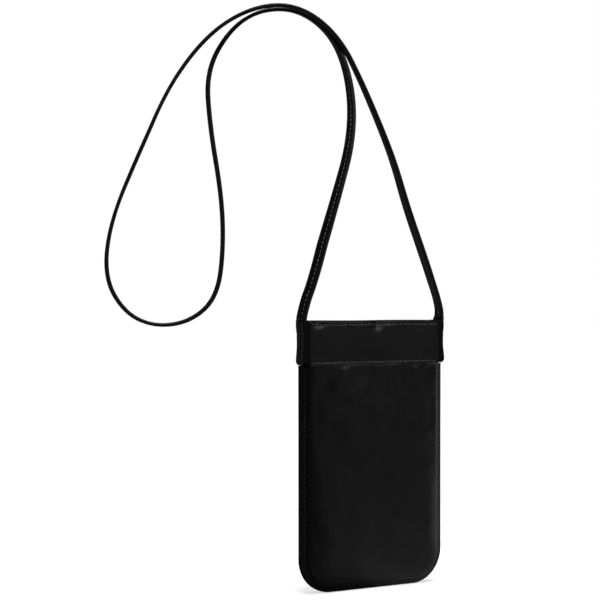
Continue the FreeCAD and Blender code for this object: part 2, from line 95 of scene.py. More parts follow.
# ---------------------------------------------------------------- materials, all procedural
class Nodes:
    def __init__(self, name):
        self.mat = bpy.data.materials.new(name)
        self.mat.use_nodes = True
        self.t = self.mat.node_tree
        self.b = self.t.nodes["Principled BSDF"]
        self.co = self.add("ShaderNodeTexCoord").outputs["Object"]

    def add(self, kind, **inputs):
        n = self.t.nodes.new(kind)
        for key, value in inputs.items():
            self.put(n, key, value)
        return n

    def put(self, n, key, value):
        socket = n.inputs[key] if isinstance(key, str) else n.inputs[key]
        if isinstance(value, bpy.types.NodeSocket):
            self.t.links.new(value, socket)
        else:
            socket.default_value = value

    def noise(self, scale, detail=3.0, rough=0.55):
        n = self.add("ShaderNodeTexNoise", Vector=self.co, Scale=scale, Detail=detail, Roughness=rough)
        return n.outputs[0]

    def ramp(self, value, a, b, lo, hi):
        n = self.add("ShaderNodeMapRange", Value=value)
        n.inputs["From Min"].default_value = a
        n.inputs["From Max"].default_value = b
        n.inputs["To Min"].default_value = lo
        n.inputs["To Max"].default_value = hi
        return n.outputs[0]

    def math(self, op, a, b):
        n = self.t.nodes.new("ShaderNodeMath")
        n.operation = op
        for i, v in enumerate((a, b)):
            if isinstance(v, bpy.types.NodeSocket):
                self.t.links.new(v, n.inputs[i])
            else:
                n.inputs[i].default_value = v
        return n.outputs[0]

    def mix(self, fac, a, b):
        n = self.t.nodes.new("ShaderNodeMix")
        n.data_type = "RGBA"
        self.t.links.new(fac, n.inputs["Factor"])
        n.inputs["A"].default_value = a
        n.inputs["B"].default_value = b
        return n.outputs["Result"]

    def bump(self, height, strength, distance, normal=None):
        n = self.add("ShaderNodeBump", Height=height, Strength=strength, Distance=distance)
        if normal is not None:
            self.t.links.new(normal, n.inputs["Normal"])
        return n.outputs[0]


def leather(name, dark, light, rough_lo, rough_hi, grain, coat=0.0, sheen=0.0):
    m = Nodes(name)
    cloud = m.noise(38.0, 4.0)
    fine = m.noise(900.0, 2.0)
    pores = m.add("ShaderNodeTexVoronoi", Vector=m.co, Scale=1500.0)
    wear = m.ramp(m.add("ShaderNodeNewGeometry").outputs["Pointiness"], 0.515, 0.56, 0.0, 1.0)
    tone = m.ramp(m.math("ADD", m.math("MULTIPLY", cloud, 0.8), m.math("MULTIPLY", wear, 0.5)), 0.3, 0.95, 0.0, 1.0)
    m.put(m.b, "Base Color", m.mix(tone, dark, light))
    m.put(m.b, "Roughness", m.ramp(m.math("ADD", m.math("MULTIPLY", cloud, 0.7), m.math("MULTIPLY", fine, 0.3)),
                                   0.3, 0.7, rough_lo, rough_hi))
    pit = m.math("MINIMUM", pores.outputs["Distance"], 0.45)
    height = m.math("ADD", pit, m.math("MULTIPLY", fine, 0.6))
    low = m.bump(m.noise(150.0, 3.0), 0.35, 0.00022)
    m.put(m.b, "Normal", m.bump(height, grain, 0.00012, low))
    m.put(m.b, "Specular IOR Level", 0.5)
    m.put(m.b, "Coat Weight", coat)
    m.put(m.b, "Coat Roughness", 0.28)
    m.put(m.b, "Sheen Weight", sheen)
    m.put(m.b, "Sheen Roughness", 0.5)
    return m.mat


def plain(name, colour, rough, metal=0.0, scale=600.0, grain=0.2):
    m = Nodes(name)
    speck = m.noise(scale, 3.0)
    shade = tuple(c * 0.6 for c in colour[:3]) + (1.0,)
    m.put(m.b, "Base Color", m.mix(speck, shade, colour))
    m.put(m.b, "Roughness", m.ramp(speck, 0.3, 0.7, rough * 0.85, min(1.0, rough * 1.15)))
    m.put(m.b, "Metallic", metal)
    m.put(m.b, "Normal", m.bump(speck, grain, 0.00006))
    return m.mat


POUCH = leather("pouch_leather", (0.0022, 0.0022, 0.0023, 1), (0.0042, 0.0041, 0.0042, 1), 0.24, 0.38, 0.20, 0.12, 0.0)
STRAP = leather("strap_leather", (0.0022, 0.0022, 0.0023, 1), (0.0042, 0.0041, 0.0042, 1), 0.30, 0.40, 0.26, 0.0, 0.0)
EDGE = plain("edge_paint", (0.0022, 0.0022, 0.0023, 1), 0.7, 0.0, 350.0, 0.25)
for name, value in (("Specular IOR Level", 0.25),):
    EDGE.node_tree.nodes["Principled BSDF"].inputs[name].default_value = value
# painted highlight: the strap's edges are a lighter grey than its faces, standing in for the light that falls on them
# at the top of the loop
STRAP_EDGE = plain("strap_edge", (0.014, 0.014, 0.0145, 1), 0.36, 0.0, 350.0, 0.25)
FLESH = plain("leather_inside", (0.012, 0.011, 0.011, 1), 0.85, 0.0, 900.0, 0.7)
# partly painted highlight: the thread is near-black, and its lighter grey here stands in for the glints along the hem
# and tab stitches
THREAD = plain("thread", (0.15, 0.15, 0.155, 1), 0.5, 0.0, 4200.0, 0.8)
# painted light: a much lighter copy of the near-black thread for the strap, whose stitches sit on its dimly lit side
# faces
STRAP_THREAD = plain("strap_thread", (0.42, 0.42, 0.43, 1), 0.6, 0.0, 4200.0, 0.8)
# partly painted highlight: the seam thread is lighter than its own near-black, for the light dashes along the side
# seam
SEAM_THREAD = plain("seam_thread", (0.045, 0.045, 0.047, 1), 0.5, 0.0, 4200.0, 0.8)
CLOTH = plain("lining_cloth", (0.012, 0.012, 0.013, 1), 0.9, 0.0, 2600.0, 0.9)
STEEL = plain("spring_steel", (0.32, 0.33, 0.35, 1), 0.32, 1.0, 300.0, 0.15)
PIN = plain("pin_steel", (0.42, 0.42, 0.43, 1), 0.28, 1.0, 500.0, 0.1)


# ---------------------------------------------------------------- mesh helpers
def make(name, verts, faces, mats, marks=None, shade=True):
    """verts in pouch millimetres; marks gives each face's material index."""
    mesh = bpy.data.meshes.new(name)
    mesh.from_pydata([tuple(p) for p in place(verts)], [], [tuple(f) for f in faces])
    for m in mats:
        mesh.materials.append(m)
    if marks is not None:
        mesh.polygons.foreach_set("material_index", np.asarray(marks, dtype=np.int32))
    mesh.polygons.foreach_set("use_smooth", np.full(len(mesh.polygons), shade))
    bm = bmesh.new()
    bm.from_mesh(mesh)
    bmesh.ops.recalc_face_normals(bm, faces=bm.faces)
    bm.to_mesh(mesh)
    bm.free()
    mesh.update()
    obj = bpy.data.objects.new(name, mesh)
    scene.collection.objects.link(obj)
    return obj


def join_sets(sets):
    """One vertex array and face list from several."""
    verts, faces, n = [], [], 0
    for v, f in sets:
        verts.append(np.asarray(v, float))
        faces += [tuple(i + n for i in face) for face in f]
        n += len(v)
    return np.vstack(verts), faces


def bow(obj):
    """The mouth's leather, spring and lining: bakes the piece's transform and works out how far each point would swing
    with the squeeze frame, most at mid width, none at the pins, and fading out down the body. The swing is not
    applied."""
    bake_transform(obj)
    co = (np.array([v.co for v in obj.data.vertices], float).reshape(-1, 3) - O) * 1000.0
    x, z = co[:, 0], co[:, 2]
    share = smooth((47.0 - np.abs(x)) / 47.0) * np.where(z >= -29.0, 1.0, smooth((z + 130.0) / 101.0))
    swing = np.arcsin(np.clip(17.0 * share / np.maximum(x + 48.8, 2.0), 0.0, 0.9)) / math.radians(24.0)
    swing = np.where(np.abs(x) >= 47.0, 0.0, swing)
    return obj


# ---------------------------------------------------------------- the strap's centreline and its twist
ROUTE = [
    (-52.95, 0.0, 0.0), (-52.95, 0.0, 11.0), (-48.2, -2.5, 26.0), (-41.5, -4.8, 46.0), (-31.7, -6.5, 80.0),
    (-19.1, -6.3, 118.1), (-15.7, -0.1, 157.1), (-22.9, 9.6, 188.0), (-41.8, 22.5, 206.7), (-63.9, 34.9, 207.0),
    (-82.8, 44.5, 193.8), (-97.0, 51.4, 166.1), (-95.5, 49.4, 128.6), (-89.5, 44.5, 87.0), (-88.5, 42.4, 47.8),
    (-93.3, 42.9, 15.5), (-108.5, 50.1, -0.6), (-129.0, 59.5, -4.4), (-147.7, 68.1, 3.9), (-160.7, 74.4, 28.0),
    (-156.4, 71.8, 66.8), (-140.3, 62.7, 109.8), (-124.1, 53.7, 153.1), (-101.5, 40.5, 188.2), (-74.8, 24.9, 206.4),
    (-49.2, 12.3, 207.8), (-23.7, 2.0, 187.9), (-6.0, -0.5, 154.0), (13.4, -2.4, 112.9), (27.9, -0.6, 76.0),
    (40.7, 0.2, 46.0), (49.4, 0.4, 25.0), (52.95, 0.0, 10.0), (52.95, 0.0, 0.0),
]
# azimuth of the strap's width at each point of the route, in degrees from +Y towards +X
TWIST = [0, -1, -1.5, -3.5, 0.8, 6.5, 13.5, 18.5, 25, 25, 21.5, 20.5, 21.5, 22.5, 22.5, 21.5, 22, 21.5, 19.5, 19.5, 21.3,
         23.3, 23, 23, 26, 26.5, 24, 21.5, 20, 15, 13.5, 14, 15, 15]

curve = bpy.data.curves.new("strap_line", "CURVE")
curve.dimensions = "3D"
curve.resolution_u = 14
spline = curve.splines.new("NURBS")
spline.points.add(len(ROUTE) - 1)
for point, p in zip(spline.points, ROUTE):
    point.co = tuple(place(p)) + (1.0,)
spline.order_u = 3
spline.use_endpoint_u = True
guide = bpy.data.objects.new("strap_line", curve)
scene.collection.objects.link(guide)
bpy.context.view_layer.update()
line_mesh = bpy.data.meshes.new_from_object(guide.evaluated_get(bpy.context.evaluated_depsgraph_get()))
line = np.array([v.co for v in line_mesh.vertices], float)
bpy.data.meshes.remove(line_mesh)
bpy.data.objects.remove(guide)
bpy.data.curves.remove(curve)

line = (line - O) * 1000.0
step = np.linalg.norm(np.diff(line, axis=0), axis=1)
keep = np.concatenate([[True], step > 1e-4])
line = line[keep]
run = np.concatenate([[0.0], np.cumsum(np.linalg.norm(np.diff(line, axis=0), axis=1))])
LENGTH = run[-1]
marks_s, at = [], 0
for i, p in enumerate(ROUTE):  # the length at which the line passes each point of the route, in order
    ahead = np.linalg.norm(line - np.array(p), axis=1)
    lo_i = at
    hi_i = min(len(line), at + 60)
    best = lo_i + int(np.argmin(ahead[lo_i:hi_i]))
    at = best
    marks_s.append(run[best])
marks_s[0], marks_s[-1] = 0.0, LENGTH
COUNT = int(LENGTH / 1.6)
samples = np.linspace(0.0, LENGTH, COUNT + 1)
centre = np.stack([np.interp(samples, run, line[:, k]) for k in range(3)], axis=1)
kernel = np.array([1, 2, 3, 2, 1], float) / 9
for k in range(3):
    padded_line = np.concatenate([[2 * centre[0, k] - centre[2, k], 2 * centre[0, k] - centre[1, k]], centre[:, k],
                                  [2 * centre[-1, k] - centre[-2, k], 2 * centre[-1, k] - centre[-3, k]]])
    centre[:, k] = np.convolve(padded_line, kernel, mode="valid")
tangent = np.gradient(centre, axis=0)
tangent /= np.linalg.norm(tangent, axis=1)[:, None]
tangent[0] = (0, 0, 1)
tangent[-1] = (0, 0, -1)
angle = np.interp(samples, marks_s, TWIST)
wide_k = 25
angle = np.convolve(np.concatenate([np.zeros(wide_k // 2), angle, np.zeros(wide_k // 2)]),
                    np.hanning(wide_k + 2)[1:-1] / np.hanning(wide_k + 2)[1:-1].sum(), mode="valid")
fade = smooth(np.minimum(samples, LENGTH - samples) / 2.6)
angle = np.radians(angle * fade)
# over the rest the strap also tips: its far edge is the higher one
tip = np.tan(math.radians(8.4) * smooth((centre[:, 2] - 90.0) / 105.0))
across = np.stack([np.sin(angle), np.cos(angle), tip], axis=1)
across -= tangent * np.sum(across * tangent, axis=1)[:, None]
across /= np.linalg.norm(across, axis=1)[:, None]
outward = np.cross(tangent, across)

HALF_W, HALF_T, TAB_X = 5.5, 1.25, 52.95
SEW_W = -1.6  # the strap is sewn a little nearer its front edge


def strap_section():
    """(across, out) points round the strap's cross-section: eased edges and a stitch groove on each face, set a
    little forward of the middle."""
    top = []
    for w in (-5.5, -5.44, -5.3, -5.05, -4.7, -4.2, -3.2, -2.3, -1.95, SEW_W, -1.25, -0.9, 0.4, 2.2, 3.6, 4.2, 4.7,
              5.05, 5.3, 5.44, 5.5):
        a = abs(w)
        edge = {5.5: 0.42, 5.44: 0.78, 5.3: 1.0, 5.05: 1.15, 4.7: 1.22}.get(a, HALF_T)
        groove = {SEW_W: 0.30, -1.95: 0.26, -1.25: 0.26, -2.3: 0.05, -0.9: 0.05}.get(w, 0.0)
        top.append((w, edge - groove))
    return top + [(w, -t) for w, t in reversed(top)]


SECTION = strap_section()


def sweep(points, ws, outs, width=None, lift=None, inner=None, cap=True):
    """Rings of the strap's section along points. ws and outs are its width and thickness directions."""
    verts, n = [], len(SECTION)
    for i, p in enumerate(points):
        k = 1.0 if width is None else width[i]
        for w, t in SECTION:
            extra = 0.0 if lift is None else lift[i] * (1 - 0.12 * (w / 5.5) ** 2) if t > 0 else inner[i]
            verts.append(p + ws[i] * (w * k) + outs[i] * (t + extra))
    faces = []
    for i in range(len(points) - 1):
        for j in range(n):
            j2 = (j + 1) % n
            faces.append((i * n + j, i * n + j2, (i + 1) * n + j2, (i + 1) * n + j))
    if cap:
        half = n // 2
        for base in (0, (len(points) - 1) * n):
            for j in range(half - 1):
                faces.append((base + j, base + j + 1, base + n - 2 - j, base + n - 1 - j))
    return np.array(verts), faces


def edge_marks(faces, ring_faces, n):
    """1 for the faces on the section's two narrow sides, which take edge paint; on the strap this is a lighter grey, a
    painted highlight for the light on its edges.
    """
    marks = []
    half = n // 2
    for i, f in enumerate(faces):
        j = i % n
        side = min(j, abs(j - half + 1), abs(j - half), n - 1 - j) <= 2
        marks.append(1 if i < ring_faces and side else 0)
    return marks


# slight waves: the strap isn't perfectly even
wave = 0.10 * np.sin(samples / 23.0 + 0.6) + 0.07 * np.sin(samples / 9.1 + 1.7)
hold = smooth(np.minimum(samples, LENGTH - samples) / 12.0)
# the strap stands a little outside its two sewn ends, most on the right, before it leans in
to_end = LENGTH - samples
stand = np.where(samples < LENGTH / 2, np.interp(samples, [0, 4, 10, 21, 34, 50], [0.9, 0.1, -1.2, -1.8, -1.1, 0.0]),
                 np.interp(to_end, [0, 3.5, 10, 20, 28], [0.9, 2.3, 1.3, 0.4, 0.0]))
ease = np.hanning(11)[1:-1] / np.hanning(11)[1:-1].sum()
stand = np.convolve(np.pad(stand, 4, mode="edge"), ease, mode="valid")
body_line = centre + outward * (wave * hold + stand)[:, None]
verts, faces = sweep(body_line, across, outward)
strap = make("neck_strap", verts, faces, [STRAP, STRAP_EDGE], edge_marks(faces, COUNT * len(SECTION), len(SECTION)))
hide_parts("strap")


# ---------------------------------------------------------------- thread: every stitch is its own small closed form
def stitches(rows, radius=0.24, long=2.2, rise=0.16, sink=0.28):
    """rows: (centre, along, normal) for each stitch. Each rises from one hole, lies on the leather and goes down."""
    shape = [(-0.5, -sink), (-0.44, rise * 0.35), (-0.3, rise * 0.9), (0.0, rise), (0.3, rise * 0.9), (0.44, rise * 0.35),
             (0.5, -sink)]
    sides = 6
    verts, faces = [], []
    for c, t, n in rows:
        c, t, n = (np.asarray(v, float) for v in (c, t, n))
        t = t / np.linalg.norm(t)
        n = n - t * np.dot(n, t)
        n = n / np.linalg.norm(n)
        b = np.cross(t, n)
        base = len(verts)
        for k, (u, h) in enumerate(shape):
            thick = radius * (0.72 if k in (0, len(shape) - 1) else 1.0 if k != 3 else 1.04)
            for q in range(sides):
                a = 2 * math.pi * q / sides
                verts.append(c + t * (u * long) + n * (h + thick * 0.8 * math.sin(a)) + b * (thick * math.cos(a)))
        for k in range(len(shape) - 1):
            for q in range(sides):
                q2 = (q + 1) % sides
                faces.append((base + k * sides + q, base + k * sides + q2, base + (k + 1) * sides + q2,
                              base + (k + 1) * sides + q))
        faces.append(tuple(base + q for q in range(sides)))
        faces.append(tuple(base + (len(shape) - 1) * sides + q for q in reversed(range(sides))))
    return np.array(verts), faces


PITCH = 3.0
rows = []
count = int((LENGTH - 6.0) / PITCH)
for i in range(count):
    s = 3.0 + (i + 0.5) * (LENGTH - 6.0) / count
    c = np.array([np.interp(s, samples, body_line[:, k]) for k in range(3)])
    t = np.array([np.interp(s, samples, tangent[:, k]) for k in range(3)])
    o = np.array([np.interp(s, samples, outward[:, k]) for k in range(3)])
    c = c + SEW_W * np.array([np.interp(s, samples, across[:, k]) for k in range(3)])
    for sign in (1, -1):
        rows.append((c + o * sign * (HALF_T - 0.32), t, o * sign))
verts, faces = stitches(rows, 0.22, 2.1, 0.14)
strap_thread = make("neck_strap_thread", verts, faces, [STRAP_THREAD])
for piece in (strap, strap_thread):
    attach(piece, "pouch")

# ---------------------------------------------------------------- front and back: one leather piece each, hem included
EDGE_X, BAND_X, LOW, CORNER = 55.4, 50.6, -178.0, 23.0
MID = EDGE_X - CORNER
FLANGE = [0, 0.18, 0.5, 1.2, 2.0, 2.5, 2.8, 3.1, 3.4, 3.7, 4.0, 4.3, 4.6, 4.95, 5.3, 5.7, 6.2, 6.9, 7.8]
INSETS = np.array(FLANGE + [8.6 + 0.8 * i for i in range(18)] + [23.0])
INSETS = INSETS[INSETS <= 23.0]
BODY_PROFILE = ([0, 0.18, 0.5, 1.2, 2.0, 2.5, 2.8, 3.1, 3.4, 3.7, 4.0, 4.3, 4.6, 4.95, 5.3, 5.7, 6.2, 6.9, 7.8, 10.0, 13.5, 18, 23],
                [1.0, 1.18, 1.32, 1.56, 1.84, 2.02, 2.06, 2.10, 2.30, 2.60, 2.94, 3.26, 3.54, 3.80, 4.02, 4.22, 4.42,
                 4.64, 4.86, 5.24, 5.64, 5.98, 6.18])
BODY_INSIDE = ([0, 3.0, 3.8, 4.6, 5.4, 7.4, 10.0, 13.5, 23], [0.05, 0.05, 1.0, 1.9, 2.7, 3.5, 3.9, 4.3, 4.75])
BAND_PROFILE = ([0, 0.1, 0.3, 0.6, 1.2, 40], [5.22, 5.36, 5.46, 5.5, 5.5, 5.5])
HEM_Z, TOP_Z = -27.5, -2.7

MID_X = np.linspace(-MID, MID, 87)
BODY_Z = list(np.arange(-155.0, -62.0, 1.7)) + list(np.arange(-61.5, -58.6, 1.0)) + list(np.arange(-58.4, -47.4, 0.42)) \
    + list(np.arange(-47.0, -35.2, 0.8)) + list(np.arange(-34.6, -31.0, 0.6))
BAND_Z = list(np.arange(-31.0, -29.8, 0.24)) + list(np.arange(-29.7, -28.95, 0.09)) + [-28.8, -28.5] + list(np.arange(-28.2, -26.7, 0.14)) + list(np.arange(-26.5, -23.5, 0.5)) \
    + list(np.arange(-23.3, -5.0, 1.3)) + list(np.arange(-4.8, -2.4, 0.24)) + [-2.1, -1.65]


def edge_at(z):
    t = smooth((z + 29.6) / 0.55)
    return EDGE_X + (BAND_X - EDGE_X) * t


def ridge(x, z, x0, z0, long, wide, turn, depth):
    """A soft crease or fold: depth is over 0 where the leather rises."""
    c, s = math.cos(math.radians(turn)), math.sin(math.radians(turn))
    u, v = (x - x0) * c + (z - z0) * s, -(x - x0) * s + (z - z0) * c
    v = v - 0.012 * u * u
    return depth * np.exp(-((u / long) ** 2)) * np.exp(-((v / wide) ** 2))


def relief(x, z, side):
    """Dents, gathers under the hem and creases, in millimetres of depth, for a body point well inside the seam."""
    seed = 0.0 if side > 0 else 2.3
    below = np.clip(-29.5 - z, 0.0, None)
    on = smooth(below / 3.0)
    gather = np.exp(-below / 13.0) * on
    out = gather * (0.12 * np.sin(x / 2.15 + 0.7 + seed + 1.3 * np.sin(x / 7.0)) * smooth((40 - np.abs(x - 2)) / 25)
                    + 0.16 * np.sin(x / 4.6 + 1.9 + seed + 0.8 * np.sin(x / 13.0 + 1.0)))
    out = out + on * 0.5 * np.sin(x / 13.0 + 0.4 + seed + z / 41.0) * np.sin(z / 23.0 + 1.1 + seed)
    out = out + on * 0.32 * np.sin(x / 6.3 + z / 9.7 + seed) * np.sin(z / 12.1 - x / 17.0 + 0.5)
    out = out + on * 0.28 * np.sin(x / 4.3 + 1.1 * np.sin(z / 11.0 + seed)) * np.sin(z / 6.4 + 0.9 * np.sin(x / 9.0) + 0.6) \
        * (0.25 + 0.75 * smooth((z + 92.0) / 40.0))
    out = out + on * 0.05 * np.sin(x / 2.3 - z / 5.1 + seed) * np.sin(z / 3.4 + x / 8.0)
    if side > 0:
        for spec in CREASES:
            out = out + ridge(x, z, *spec)
    else:
        for spec in ((20.0, -60.0, 14.0, 1.4, 12.0, -0.22), (-26.0, -70.0, 12.0, 1.2, -18.0, -0.18),
                     (6.0, -110.0, 26.0, 5.0, 80.0, 0.20), (-34.0, -48.0, 8.0, 0.8, 6.0, -0.14)):
            out = out + ridge(x, z, *spec)
    return out


# place, half length, half width, turn in degrees and depth of each crease on the front
CREASES = (
    (-40.0, -51.0, 6.0, 0.55, 4.0, 0.10), (-33.0, -53.2, 8.0, 0.6, 2.0, -0.13), (-41.0, -55.0, 5.0, 0.5, -3.0, 0.10),
    (-30.0, -50.4, 5.0, 0.7, 8.0, 0.10), (-37.0, -57.2, 6.0, 0.7, -6.0, -0.10), (-22.0, -49.0, 5.0, 0.8, 30.0, 0.10),
    (-26.0, -52.0, 2.0, 0.5, 70.0, 0.08), (-21.0, -54.5, 2.2, 0.5, 60.0, -0.09), (-17.0, -56.0, 3.0, 0.6, -20.0, 0.08),
    (46.0, -53.0, 4.5, 0.55, -4.0, -0.18), (45.0, -54.6, 4.0, 0.5, 3.0, 0.14), (44.0, -139.0, 4.0, 0.5, 8.0, 0.12),
    (8.0, -42.0, 6.0, 1.1, 82.0, 0.14), (-4.0, -38.5, 6.0, 0.9, 98.0, -0.13), (19.0, -44.0, 9.0, 1.8, 74.0, -0.07),
    (-13.0, -46.0, 8.0, 1.3, 104.0, 0.12), (28.0, -40.0, 6.0, 1.3, 66.0, 0.07), (24.0, -51.0, 5.0, 0.7, 20.0, 0.10),
    (26.0, -120.0, 22.0, 5.0, 70.0, 0.22), (-18.0, -96.0, 26.0, 6.0, 104.0, -0.18),
    (-25.0, -98.5, 4.0, 0.5, 10.0, 0.07), (40.0, -78.0, 12.0, 4.0, 25.0, 0.20), (14.0, -73.0, 20.0, 5.0, -20.0, -0.14),
)


def pucker(x):
    return 0.55 + 0.45 * np.cos(2 * math.pi * (np.abs(x) - 1.8 - 1.1) / PITCH)


def low_share(x, z):
    """How far a point lies towards the bottom edge, where the leather turns in more tightly."""
    return smooth((-z - 158.0) / 14.0)


def dents(x, z):
    """Soft dents under the top fold of the front, deepest at the fold."""
    out = 1.05 * np.exp(-(((x + 44.0) / 6.5) ** 2)) * smooth((z + 6.6) / 5.6)
    out = out + 0.35 * np.exp(-(((x + 27.0 + 0.6 * z) / 5.0) ** 2)) * smooth((z + 9.0) / 7.0)
    wide = 3.2 + 0.16 * (z + 14.0).clip(0, None)
    out = out + 1.05 * np.exp(-(((x - 1.5 - 0.25 * (z + 3)) / wide) ** 2)) * smooth((z + 9.6) / 8.6)
    return out + 0.3 * np.exp(-(((x - 11.0 - 0.5 * z) / 4.0) ** 2)) * smooth((z + 7.0) / 6.0)


def outer_depth(x, z, inset, side):
    """Distance of the outer surface from the pouch's mid plane."""
    x, z, inset = (np.asarray(v, float) for v in (x, z, inset))
    body = np.interp(inset * (1 + 0.32 * smooth((inset - 2.6) / 2.0) * low_share(x, z)), *BODY_PROFILE)
    crown = 0.55 * smooth((inset - 6.0) / 22.0) * smooth((-z - 30.0) / 30.0) * smooth((z + 178.0) / 50.0)
    body = body * (1 - 0.07 * smooth((inset - 3.8) / 3.0) * smooth((z + 75.0) / 44.0))
    body = body + crown + relief(x, z, side) * smooth((inset - 5.5) / 7.0)
    body = np.maximum(body, np.interp(inset, *BODY_INSIDE) + 0.5)
    band = np.interp(inset, *BAND_PROFILE)
    inside = smooth((inset - 0.8) / 2.5)
    band = band + 0.16 * smooth((z + 23.5) / 4.0) * smooth((-4.0 - z) / 5.0) * smooth(inset / 6.0)
    band = band - inside * 0.26 * np.exp(-(((z - HEM_Z) / 0.55) ** 2)) * (0.5 + 0.5 * pucker(x))
    band = band - dents(x, z) * inside * (side > 0)
    band = band - 0.35 * np.exp(-(((x - 33.0) / 9.0) ** 2)) * smooth((z + 9.0) / 7.0) * inside
    band = band + 0.18 * np.sin(x / 9.0 + 0.8 + side) * np.sin(-z / 7.0) * inside
    band = band - inside * 0.16 * np.exp(-(((z - TOP_Z) / 0.5) ** 2))
    band = band + inside * 0.07 * np.sin(x / 5.1 + side) * smooth((-z - 5.0) / 6.0) * smooth((z + 26.0) / 4.0)
    t = smooth((z + 29.9) / 0.9)
    return body * (1 - t) + band * t


def inner_depth(x, z, inset, side):
    body = np.interp(inset, *BODY_INSIDE)
    top = np.full_like(body, 4.2) - np.interp(inset, [0, 0.6], [0.1, 0.0])
    t = smooth((z + 29.9) / 0.9)
    return body * (1 - t) + top * t


def shell(side):
    """Points, inner points and faces of the front (1) or back (-1) piece."""
    pts, inn, key = [], [], []
    faces = []

    def add(x, z, depth, z_in, depth_in, tag):
        pts.append((x, -side * depth, z))
        inn.append((x, -side * depth_in, z_in))
        key.append((tag, round(float(x), 4), round(float(z), 4)))

    columns = [("L", d) for d in INSETS] + [("M", x) for x in MID_X[1:-1]] + [("R", d) for d in INSETS[::-1]]
    rows = [("flat", z) for z in BODY_Z + BAND_Z]
    rows += [("fold", a) for a in np.linspace(0, 180, 11)[1:]]
    rows += [("turn", z) for z in (-2.4, -4.0, -6.0, -8.0, -10.0, -13.0, -16.0, -19.0, -22.0, -25.0, -28.0)]

    def xs(edge):
        out = []
        for kind, v in columns:
            if kind == "M":
                out.append(v)
            else:
                x = edge - v * (edge - MID) / CORNER
                out.append(-x if kind == "L" else x)
        return np.array(out)

    for kind, v in rows:
        if kind == "flat":
            edge = float(edge_at(v))
            x = xs(edge)
            inset = edge - np.abs(x)
            z = np.full_like(x, v)
            d_out, d_in = outer_depth(x, z, inset, side), inner_depth(x, z, inset, side)
            for i in range(len(x)):
                add(x[i], v, d_out[i], v, d_in[i], "flat")
        elif kind == "fold":
            x = xs(BAND_X)
            inset = BAND_X - np.abs(x)
            ease = 5.5 - np.interp(inset, *BAND_PROFILE)
            a = math.radians(v)
            wall = 1.3 + (0.8 - 1.3) * v / 180.0
            lift = 0.10 * np.sin(x / 11.0 + 0.5 * side)
            dent = dents(x, np.full_like(x, -1.65)) * smooth((inset - 0.8) / 2.5) * (side > 0) * (0.5 + 0.5 * math.cos(a))
            for i in range(len(x)):
                r_out = 1.65 - ease[i] * (0.5 + 0.5 * math.cos(a))
                r_in = 1.65 - wall
                top = lift[i] * math.sin(a)
                add(x[i], -1.65 + r_out * math.sin(a) + top, 3.85 + r_out * math.cos(a) - dent[i],
                    -1.65 + r_in * math.sin(a) + top, 3.85 + r_in * math.cos(a), "fold%d" % round(v))
        else:
            edge = BAND_X - 5.4 * float(smooth((-1.65 - v) / 5.0))
            x = xs(edge)
            for i in range(len(x)):
                sag = 0.06 * math.sin(x[i] / 6.0 + v / 5.0)
                add(x[i], v, 2.2 + sag, v, 3.0 + sag, "turn%d" % round(v * 10))
    wide = len(columns)
    for r in range(len(rows) - 1):
        for c in range(wide - 1):
            faces.append((r * wide + c, r * wide + c + 1, (r + 1) * wide + c + 1, (r + 1) * wide + c))
    base = len(pts)
    low = [("CL", a) for a in np.linspace(180, 270, 25)] + [("M", x) for x in MID_X[1:-1]] \
        + [("CR", a) for a in np.linspace(270, 360, 25)]
    for kind, v in low:
        if kind == "M":
            x, z = np.full(len(INSETS), v), LOW + INSETS
        else:
            a = math.radians(v)
            c = -MID if kind == "CL" else MID
            x, z = c + (CORNER - INSETS) * math.cos(a), -155.0 + (CORNER - INSETS) * math.sin(a)
        d_out, d_in = outer_depth(x, z, INSETS, side), inner_depth(x, z, INSETS, side)
        for i in range(len(x)):
            add(x[i], z[i], d_out[i], z[i], d_in[i], "flat")
    k = len(INSETS)
    for c in range(len(low) - 1):
        for d in range(k - 1):
            faces.append((base + c * k + d, base + (c + 1) * k + d, base + (c + 1) * k + d + 1, base + c * k + d + 1))
    # weld by place
    seen, index = {}, []
    for kk in key:
        kk = (kk[0], kk[1] + 0.0, kk[2] + 0.0)
        if kk not in seen:
            seen[kk] = len(seen)
        index.append(seen[kk])
    outer, inner = np.zeros((len(seen), 3)), np.zeros((len(seen), 3))
    for i, j in enumerate(index):
        outer[j], inner[j] = pts[i], inn[i]
    clean = []
    for f in faces:
        g = []
        for i in f:
            j = index[i]
            if not g or (j != g[-1] and j != g[0]):
                g.append(j)
        if len(g) >= 3:
            clean.append(tuple(g))
    n = len(outer)
    edges = {}
    for f in clean:
        for a, b in zip(f, f[1:] + f[:1]):
            edges[(a, b)] = edges.get((a, b), 0) + 1
    rim = [(a, b) for (a, b) in edges if (b, a) not in edges]
    all_faces = clean + [tuple(reversed([i + n for i in f])) for f in clean] + [(b, a, a + n, b + n) for a, b in rim]
    marks = [0] * len(clean) + [2] * len(clean) + [1] * len(rim)
    return np.vstack([outer, inner]), all_faces, marks


shells = {}
for side, word in ((1, "front"), (-1, "back")):
    verts, faces, marks = shell(side)
    piece = make(word + "_leather", verts, faces, [POUCH, EDGE, FLESH], marks)
    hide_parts(word + "_panel", word + "_hem_left", word + "_hem_right")
    bow(piece)
    shells[word] = piece

# ---------------------------------------------------------------- stitches on the bands and round the body
def body_inset(x, z):
    """Distance in from the body's outline."""
    x, z = abs(x), z
    if x > MID and z < -155.0:
        return CORNER - math.hypot(x - MID, z + 155.0)
    return min(EDGE_X - x, z - LOW)


